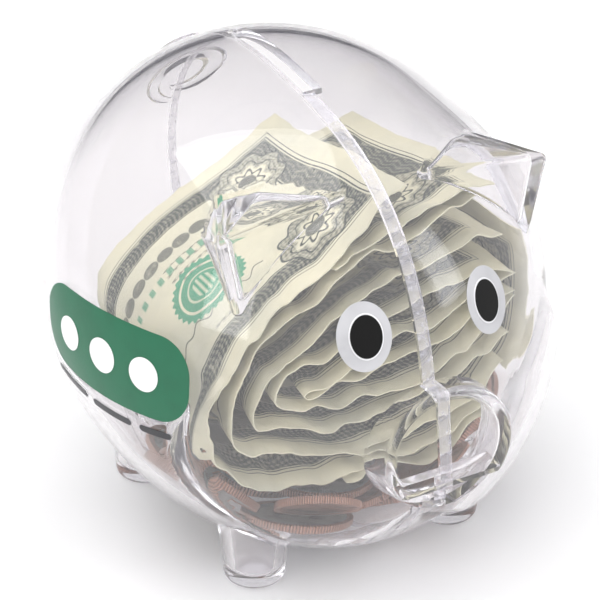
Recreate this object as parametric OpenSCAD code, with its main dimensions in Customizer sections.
// See-through piggy bank: two clear half shells bonded along a lap joint, with printed eyes and
// a printed side badge, and the folded banknotes and coins that it holds.
// The pig faces -Y and stands on its feet. The origin is on the ground, under the middle of its box.

/* [Body] */
// Width of the body across both half shells
body_w = 108; // [92:1:130]
// Reach of the body from its middle to the face
face_r = 58; // [50:1:70]
// Reach from the middle to the brow, at 45 degrees up
brow_r = 52; // [46:1:62]
// Height of the crown over the middle
crown_r = 48; // [42:1:58]
// Reach from the middle to the rump, at 45 degrees up
rump_r = 56; // [48:1:68]
// Reach of the body from its middle to the back
back_r = 51; // [44:1:62]
// Reach from the middle to the haunch, at 45 degrees down
haunch_r = 51; // [45:1:62]
// Depth of the belly under the middle
belly_r = 53; // [48:1:60]
// Reach from the middle to the chin, at 45 degrees down
chin_r = 62; // [55:1:74]
// Thickness of the moulded wall
wall = 2.4; // [1.8:0.1:3]
// Height of the body's middle over the ground
stand_h = 55.5; // [52:0.5:68]

/* [Cheeks] */
// How far each cheek swells out of the face
cheek_h = 3; // [0:0.1:4]
// Radius of the cheek's round lower edge, seen from the front
cheek_r = 25.5; // [20:0.5:30]
// Distance of a cheek's centre from the middle plane
cheek_x = 17; // [12:0.5:22]
// Depth of a cheek's centre under the body's middle
cheek_drop = 11; // [5:0.5:18]

/* [Lap joint] */
// Width of the tongue that the left half shell pushes into the right one
lap_w = 2.4; // [1.5:0.1:4]
// Gap for the bond between tongue and rebate
lap_gap = 0.05; // [0.02:0.01:0.15]

/* [Coin slot] */
// Length of the coin slot
slot_l = 33; // [27:0.5:40]
// Width of the coin slot
slot_w = 4.6; // [4.4:0.1:6]
// Distance of the slot's middle behind the body's middle
slot_back = 7.5; // [0:0.5:14]

/* [Snout] */
// Width of the snout's face
snout_w = 30.5; // [22:0.5:34]
// Height of the snout's face
snout_h = 27; // [20:0.5:30]
// How much wider the snout is at its root, all round
snout_flare = 1.2; // [0:0.1:4]
// How far the snout's face stands ahead of the body
snout_reach = 6.5; // [4:0.5:12]
// Depth of the snout's centre under the body's middle
snout_drop = 11.5; // [6:0.5:18]
// Angle that the snout's face leans back
snout_tilt = 6; // [0:1:12]
// Depth of the mouth line under the snout's centre
mouth_drop = 8; // [5:0.5:10]
// How far the lower lip lies behind the snout's face
lip_step = 3; // [1.5:0.1:4]

/* [Ears] */
// How far an ear's outer corner stands off the body
ear_stand = 10; // [6:0.5:13]
// Angle of an ear's outer corner round to the side
ear_lat = 37; // [30:1:44]

/* [Tail] */
// Radius of the tail's curl
tail_r = 10; // [6:0.5:14]
// Radius of the tail's round section at its thickest
tail_bead = 3.2; // [2:0.1:4]

/* [Feet] */
// Diameter of a foot
foot_d = 13.5; // [11:0.5:17]
// Distance of the feet from the middle plane
foot_x = 24.5; // [20:0.5:28]
// Distance of the front feet ahead of the body's middle
foot_front = 26.5; // [20:0.5:30]
// Distance of the rear feet behind the body's middle
foot_rear = 22.5; // [18:0.5:28]
// Thickness of a foot's floor
foot_floor = 3; // [2:0.5:5]

/* [Prints] */
// Width of an eye's pale disc
eye_w = 11.6; // [8:0.2:14]
// Height of an eye's pale disc
eye_h = 14.4; // [10:0.2:17]
// Share of the pale disc that the pupil takes
pupil_share = 0.58; // [0.4:0.02:0.8]
// Length of the side badge
badge_l = 48; // [30:1:52]
// Height of the side badge
badge_h = 20; // [12:1:26]
// Thickness of a layer of ink
ink = 0.12; // [0.08:0.01:0.2]

/* [Money] */
// Width of a banknote
note_w = 66; // [56:1:72]
// Thickness of a crumpled banknote
note_t = 0.3; // [0.2:0.05:0.5]
// Diameter of a large coin
coin_d = 24.3; // [20:0.1:26]
// Diameter of a small coin
small_coin_d = 19; // [16:0.1:21]
// Thickness of a coin
coin_t = 1.7; // [1.2:0.1:2]

/* [Hidden] */
CLEAR = [0.80, 0.82, 0.88, 0.35];
far_out = 200;
round_fn = 32;
skin_rings = 20;
skin_sides = 48;

// The side profile: eight reaches from the middle, one each 45 degrees from the face over the crown,
// joined by one smooth closed wave.
reaches = [face_r, brow_r, crown_r, rump_r, back_r, haunch_r, belly_r, chin_r];
function wave(a) = abs(sin(a / 2)) < 1e-6 ? 1 : sin(4 * a) / (8 * tan(a / 2));
function reach(a) = reaches * [for (i = [0:7]) wave(a - 45 * i)];

// A cheek is a round patch of the face that swells towards its lower and outer edge, where it steps
// back to the body. It fades out towards the eye and the snout.
function ramp(lo, hi, v) = let (t = min(1, max(0, (v - lo) / (hi - lo)))) t * t * (3 - 2 * t);
function cheek(p) =
    let (u = abs(p.x) - cheek_x, v = p.z + cheek_drop)
    let (r = norm([u, v]) / cheek_r, turn = atan2(v, u))
    p.y > 0 ? 0 : cheek_h * ramp(0.2, 0.85, r) * (1 - ramp(0.95, 1.08, r))
        * (1 - ramp(0, 45, turn)) * ramp(-135, -100, turn);

// A point pushed out or in from the middle until it lies on the skin, at a depth under it.
function on_body(p, depth) =
    p / norm([p.x / (body_w / 2 - depth), norm([p.y, p.z]) / (reach(atan2(p.z, -p.y)) - depth)]);
function on_skin(p, depth = 0) =
    let (q = on_body(p, depth)) q + cheek(q) * q / norm(q);
// A direction by its angle round to the side and its angle up from the face.
function aim(side, up) = [sin(side), -cos(side) * cos(up), cos(side) * sin(up)];
function unit(v) = v / norm(v);

// The middle of the body stands over the ground, and the box is centred on the origin.
front_y = face_r + snout_reach + tan(snout_tilt) * snout_h / 4;
mid_y = (front_y - back_r) / 2;
module at_body() translate([0, mid_y, stand_h]) children();

// Closed lofts of rings of points, each ring a list of the same length.
function ring_faces(n, m, closed) = [
    for (i = [0:n - 2]) for (j = [0:closed ? m - 1 : m - 2])
        each [[i * m + j, (i + 1) * m + (j + 1) % m, (i + 1) * m + j],
              [i * m + j, i * m + (j + 1) % m, (i + 1) * m + (j + 1) % m]]
];
module tube(rings) {
    n = len(rings);
    m = len(rings[0]);
    polyhedron([for (r = rings) each r],
        concat(ring_faces(n, m, true), [[for (j = [m - 1:-1:0]) j]], [[for (j = [0:m - 1]) (n - 1) * m + j]]));
}
// A sheet between an upper and a lower grid of points.
module sheet(upper, lower) {
    n = len(upper);
    m = len(upper[0]);
    k = n * m;
    edge = concat([for (j = [0:m - 1]) j], [for (i = [1:n - 1]) i * m + m - 1],
        [for (j = [m - 2:-1:0]) (n - 1) * m + j], [for (i = [n - 2:-1:1]) i * m]);
    polyhedron([for (r = upper) each r, for (r = lower) each r], concat(
        ring_faces(n, m, false),
        [for (f = ring_faces(n, m, false)) [f[2] + k, f[1] + k, f[0] + k]],
        [for (i = [0:len(edge) - 1]) let (a = edge[i], b = edge[(i + 1) % len(edge)])
            each [[a, b + k, b], [a, a + k, b + k]]]));
}

module body(depth) {
    cap = 4;
    tube([for (i = [0:skin_rings]) let (side = -90 + cap + i * (180 - 2 * cap) / skin_rings)
        [for (j = [0:skin_sides - 1]) on_skin(aim(side, 360 * j / skin_sides), depth)]]);
}

// The snout is a flared oval stub with a flat face, and below the mouth line the lip stands back.
module oval_plate(w, h) scale([1, h / w, 1]) cylinder(d = w, h = 0.2, $fn = round_fn);
module snout_stub(depth, step) {
    hull() {
        translate([0, 0, -depth - step - 0.2]) oval_plate(snout_w - 2 * depth, snout_h - 2 * depth);
        translate([0, 0, -snout_reach - 12])
            oval_plate(snout_w + 2 * snout_flare - 2 * depth, snout_h + 2 * snout_flare - 2 * depth);
    }
}
module snout(depth) {
    translate([0, -face_r - snout_reach, -snout_drop]) rotate([90 - snout_tilt, 0, 0]) {
        snout_stub(depth, lip_step);
        intersection() {
            snout_stub(depth, 0);
            translate([-far_out / 2, depth - mouth_drop, -far_out / 2]) cube(far_out);
        }
    }
}

// An ear is a hollow wedge. Its front is a flat three-cornered panel between the ridge's inner end,
// the outer corner and the tip, and its top and side run back into the body.
function ear_points(depth) =
    let (raw = [on_skin(aim(ear_lat - 26, 45), 0.6), on_skin(aim(ear_lat, 41.5), -ear_stand),
        on_skin(aim(ear_lat + 2.5, 25.5), 0.4), on_skin(aim(ear_lat - 12.5, 55), 1.5),
        on_skin(aim(ear_lat - 1, 58.5), 1.5), on_skin(aim(ear_lat + 5, 50), 1.5)])
    let (heart = (raw[0] + raw[1] + raw[2] + raw[3] + raw[4] + raw[5]) / 6)
    [for (p = raw) p + min(depth * 1.5, norm(heart - p) * 0.8) * unit(heart - p)];
module ear(depth) {
    bead = 1.3;
    hull() for (p = ear_points(depth)) translate(p) sphere(d = 2 * bead, $fn = 14);
}

// A foot is a short hollow stub that widens into the belly. It is flat underneath, inside a round edge.
module foot(y, depth) {
    d = foot_d - 2 * depth;
    low = depth > 0 ? foot_floor : 0;
    top = stand_h - norm([on_skin([foot_x, y, -40]).z]) + 6;
    translate([foot_x, y, -stand_h]) hull() {
        translate([0, 0, low]) cylinder(d = d - 6 + depth, h = 0.1, $fn = round_fn);
        translate([0, 0, low + 2.2]) cylinder(d = d, h = 0.1, $fn = round_fn);
        translate([0, 0, top]) cylinder(d = d + 4, h = 0.1, $fn = round_fn);
    }
}

// The tail is a raised curl on the rump that starts on the parting line, tapered at both ends.
tail_mid = aim(0, 147);
function tail_path(t) =
    let (turn = 90 + 400 * t, r = tail_r * (1 - 0.45 * t))
    on_skin(on_skin(tail_mid) + r * ([cos(turn), 0, 0] + sin(turn) * [0, tail_mid.z, -tail_mid.y]), 0.8);
function tail_ring(t, sides) =
    let (p = tail_path(t), along = unit(tail_path(t + 0.01) - tail_path(t - 0.01)), out = unit(p))
    let (across = cross(along, out), r = tail_bead * (0.25 + 0.75 * sin(180 * min(1, max(0, t)))))
    [for (j = [0:sides - 1]) p + r * (cos(360 * j / sides) * across + sin(360 * j / sides) * out)];
module tail() {
    beads = 26;
    tube([for (i = [0:beads]) tail_ring(i / beads, 8)]);
}

module pig(depth) {
    body(depth);
    snout(depth);
    ear(depth);
    foot(-foot_front, depth);
    foot(foot_rear, depth);
}
module core(depth) {
    body(depth);
    snout(depth);
}
module slab(x0, x1) translate([x0, -far_out, -far_out]) cube([x1 - x0, 2 * far_out, 2 * far_out]);
module slot() translate([-slot_w / 2, slot_back - slot_l / 2, 0]) cube([slot_w, slot_l, far_out]);

// One half of the bank on the +X side of the parting line, as an open shell.
module half_shell() {
    difference() {
        intersection() {
            union() {
                pig(0);
                tail();
            }
            slab(0, far_out);
        }
        pig(wall);
        slot();
    }
}

module left_half_shell() color(CLEAR) at_body() {
    half_shell();
    difference() {
        intersection() {
            core(wall / 2 + lap_gap);
            slab(-lap_w, 0.01);
        }
        core(wall);
        slot();
    }
}
module right_half_shell() color(CLEAR) at_body() {
    difference() {
        mirror([1, 0, 0]) half_shell();
        intersection() {
            core(wall / 2);
            slab(-lap_w - lap_gap, 1);
        }
    }
}

// Ink lies on the skin: a grid of points across the print, lifted by the ink's thickness.
function patch(grid, middle, right, up, lift) =
    [for (row = grid) [for (q = row) on_skin(middle + q.x * right + q.y * up, -lift)]];
module print(grid, middle, right, up, low) {
    sheet(patch(grid, middle, right, up, low + ink), patch(grid, middle, right, up, low));
}
// An oval and a round-cornered bar as grids of points. Every row runs from one edge to the other.
function oval_grid(w, h, n) = [for (i = [0:n]) let (v = -cos(180 * (i + 0.5) / (n + 1)) * h / 2)
    [for (j = [0:n]) [w / 2 * sqrt(1 - pow(2 * v / h, 2)) * (2 * j / n - 1), v]]];
function bar_half(v, w, h, r) =
    let (over = max(0, abs(v) - (h / 2 - r))) w / 2 - r + sqrt(max(0, r * r - over * over));
function bar_grid(w, h, r, n, m) = [for (i = [0:n]) let (v = -cos(180 * i / n) * h / 2 * 0.999)
    [for (j = [0:m]) [bar_half(v, w, h, r) * (2 * j / m - 1), v]]];

eye_side = 15.5;
eye_up = 14;
eye_shift = 1.2;
module eye(side, share, low) {
    n = 12;
    middle = on_skin(aim(side * eye_side + eye_shift, eye_up));
    right = unit(cross([0, 0, 1], -middle));
    print(oval_grid(eye_w * share, eye_h * share, n), middle, right, unit(cross(middle, right)) * -1, low);
}
module right_eye_white() color("white") at_body() eye(-1, 1, 0.02);
module left_eye_white() color("white") at_body() eye(1, 1, 0.02);
module right_eye_pupil() color("black") at_body() eye(-1, pupil_share, 0.04 + ink);
module left_eye_pupil() color("black") at_body() eye(1, pupil_share, 0.04 + ink);

// The badge is a plain round-ended bar on the right side, with three pale discs over it.
badge_mid = aim(-76, 3);
badge_right = unit(cross([0, 0, 1], -on_skin(badge_mid)));
badge_up = -unit(cross(on_skin(badge_mid), badge_right));
module badge_bar(w, h, r, low) {
    print(bar_grid(w, h, r, 8, 14), on_skin(badge_mid), badge_right, badge_up, low);
}
module side_badge() color("seagreen") at_body() badge_bar(badge_l, badge_h, badge_h / 2.4, 0.04);
module side_badge_marks() color("whitesmoke") at_body() {
    for (k = [-1, 0, 1]) {
        middle = on_skin(on_skin(badge_mid) + k * badge_l / 4 * badge_right);
        print(oval_grid(badge_h / 2.6, badge_h / 2.6, 8), middle, badge_right, badge_up, 0.04 + ink);
    }
}

// Banknotes lie across the bank, one inside the other, each bent round near the pig's right side into
// an upper and a lower leaf. Points are chosen by hand along a note's front edge and its rear edge, as
// [across, up] from the body's middle, and grow with the body.
note_front = -33;
grow_x = body_w / 108;
grow_up = crown_r / 48;
grow_down = belly_r / 53;
function grown(p) = [p.x * grow_x, p.y * (p.y > 0 ? grow_up : grow_down)];
// A smooth curve through the points: each step is a cubic that leaves and arrives along its neighbours.
function bend(a, b, c, d, t) =
    0.5 * (2 * b + t * (c - a) + t * t * (2 * a - 5 * b + 4 * c - d) + t * t * t * (3 * b - a - 3 * c + d));
function curve(points, steps) = let (n = len(points) - 1) [
    for (i = [0:n - 1]) for (k = [0:i == n - 1 ? steps : steps - 1])
        bend(points[max(0, i - 1)], points[i], points[i + 1], points[min(n, i + 2)], k / steps)
];
module note(front, rear, ripple = 1) {
    steps = 4;
    rows = 6;
    a = [for (p = curve(front, steps)) grown(p)];
    b = [for (p = curve(rear, steps)) grown(p)];
    n = len(a) - 1;
    mid = [for (i = [0:n]) [for (j = [0:rows]) let (v = j / rows, p = a[i] + (b[i] - a[i]) * v)
        [p.x, note_front * face_r / 58 + note_w * v, p.y + ripple * sin(300 * v + 23 * i) * sin(180 * v)]]];
    function at(i, j, side) =
        let (along = mid[min(n, i + 1)][j] - mid[max(0, i - 1)][j])
        let (back = mid[i][min(rows, j + 1)] - mid[i][max(0, j - 1)])
        mid[i][j] + side * note_t / 2 * unit(cross(along, back));
    sheet([for (i = [0:n]) [for (j = [0:rows]) at(i, j, 1)]],
        [for (i = [0:n]) [for (j = [0:rows]) at(i, j, -1)]]);
}
module note_1() color("beige") at_body() note(
    [[8, 32], [-8, 20], [-26, 9], [-37, -9], [-34, -23], [-16, -31], [10, -32], [32, -25]],
    [[16, 20], [-1, 11], [-19, 2], [-30, -9], [-27, -22], [-10, -28], [10, -28.5], [26, -22]]);
module note_2() color("beige") at_body() note(
    [[25, 25], [6, 20], [-13, 13], [-27, 3], [-33, -9], [-30, -19], [-12, -26], [12, -26], [34, -17]],
    [[30, 14], [12, 4], [-5, -3], [-17, -9], [-22, -15], [-20, -21], [-6, -25], [12, -25], [30, -18]]);
module note_3() color("beige") at_body() note(
    [[32, 15], [14, 13], [-7, 6], [-23, -2], [-28, -9], [-25, -15], [-8, -20], [14, -19], [35, -9]],
    [[34, 6], [17, 0], [0, -6], [-11, -11], [-16, -15], [-14, -18], [0, -21], [14, -20], [32, -11]]);
module note_4() color("beige") at_body() note(
    [[35, 7], [16, 6], [-3, 0], [-19, -5], [-23, -9], [-20, -12], [-4, -15], [16, -12], [36, -2]],
    [[33, 0.5], [17, -4.7], [4, -9], [-6, -12], [-11, -14.5], [-8, -16.5], [4, -17.5], [16, -15], [33, -6]]);
module note_5() color("beige") at_body() note(
    [[36, 3], [18, 0], [0, -4.5], [-13, -8], [-16, -9.5], [-13, -11], [0, -10.5], [18, -5.5], [36, 0.5]],
    [[34, -2.4], [18, -8], [6, -11.5], [-2, -13.2], [-5, -14.4], [-2, -15.3], [6, -14.8], [18, -11.5], [33, -4]],
    0);
module note_6() color("beige") at_body() note(
    [[30, 28], [12, 25], [-2, 19.5], [-9, 16.8]],
    [[36, 16.5], [20, 11], [6, 5], [-3, 0.5]], 0.5);
module note_7() color("beige") at_body() note(
    [[36, 17], [39.5, 4], [39, -12], [35, -20]],
    [[34.5, 9], [35.5, 0], [34.5, -8], [31.5, -14]], 0.4);
module note_8() color("beige") at_body() note(
    [[-6, -34], [14, -35], [30, -28]],
    [[-2, -30], [12, -30.5], [24, -25]], 0.4);

// Coins lie on the bottom of the bowl, each tilted to the skin under its middle, and some lie on others.
// The bowl is taken as round, so a wide coin's middle stands further off it, and the coins spread out
// where they are larger or the bowl is smaller.
bowl_r = 38;
function sag(d) = bowl_r - sqrt(bowl_r * bowl_r - d * d / 4);
function inward(side, up) = unit(cross(
    on_body(aim(side, up + 1), 0) - on_body(aim(side, up - 1), 0),
    on_body(aim(side + 1, up), 0) - on_body(aim(side - 1, up), 0)));
spread = max(1, coin_d / 24.3 * 53 / belly_r);
module coin(side0, up0, d, lift = 0) {
    side = side0 * spread;
    up = -90 + (up0 + 90) * spread;
    n = inward(side, up);
    p = on_body(aim(side, up), 0) + n * (wall + sag(d) + coin_t / 2 + lift * spread);
    at_body() translate(p) rotate([0, acos(n.z), atan2(n.y, n.x)])
        cylinder(d = d, h = coin_t, center = true, $fn = 48);
}
module coin_1() color("silver") coin(0, -92, coin_d, 0.6);
module coin_2() color("silver") coin(31, -91, coin_d);
module coin_3() color("silver") coin(-31, -91, coin_d);
module coin_4() color("silver") coin(15, -66, small_coin_d, 0.4);
module coin_5() color("silver") coin(-14, -63, coin_d, 0.4);
module coin_6() color("silver") coin(16, -116, small_coin_d, 0.3);
module coin_7() color("silver") coin(-14, -118, small_coin_d, 0.2);
module coin_8() color("silver") coin(42, -61, small_coin_d, 0.3);
module coin_9() color("silver") coin(-46, -61, small_coin_d, 0.3);
module coin_10() color("silver") coin(15, -84, coin_d, 4.2);
module coin_11() color("silver") coin(-17, -86, coin_d, 4.2);
module coin_12() color("silver") coin(1, -62, small_coin_d, 4.4);
module coin_13() color("silver") coin(-4, -68, coin_d, 7.6);
module coin_14() color("silver") coin(-40, -62, coin_d, 3);
module coin_15() color("silver") coin(38, -62, coin_d, 3);
module coin_16() color("silver") coin(-37, -68, coin_d, 7.6);
module coin_17() color("silver") coin(-16, -47, small_coin_d, 4.4);
module coin_18() color("silver") coin(17, -47, small_coin_d, 3);
module coin_19() color("silver") coin(-1, -113, coin_d, 3.4);

right_half_shell();
left_half_shell();
right_eye_white();
left_eye_white();
right_eye_pupil();
left_eye_pupil();
side_badge();
side_badge_marks();
note_1();
note_2();
note_3();
note_4();
note_5();
note_6();
note_7();
note_8();
coin_1();
coin_2();
coin_3();
coin_4();
coin_5();
coin_6();
coin_7();
coin_8();
coin_9();
coin_10();
coin_11();
coin_12();
coin_13();
coin_14();
coin_15();
coin_16();
coin_17();
coin_18();
coin_19();
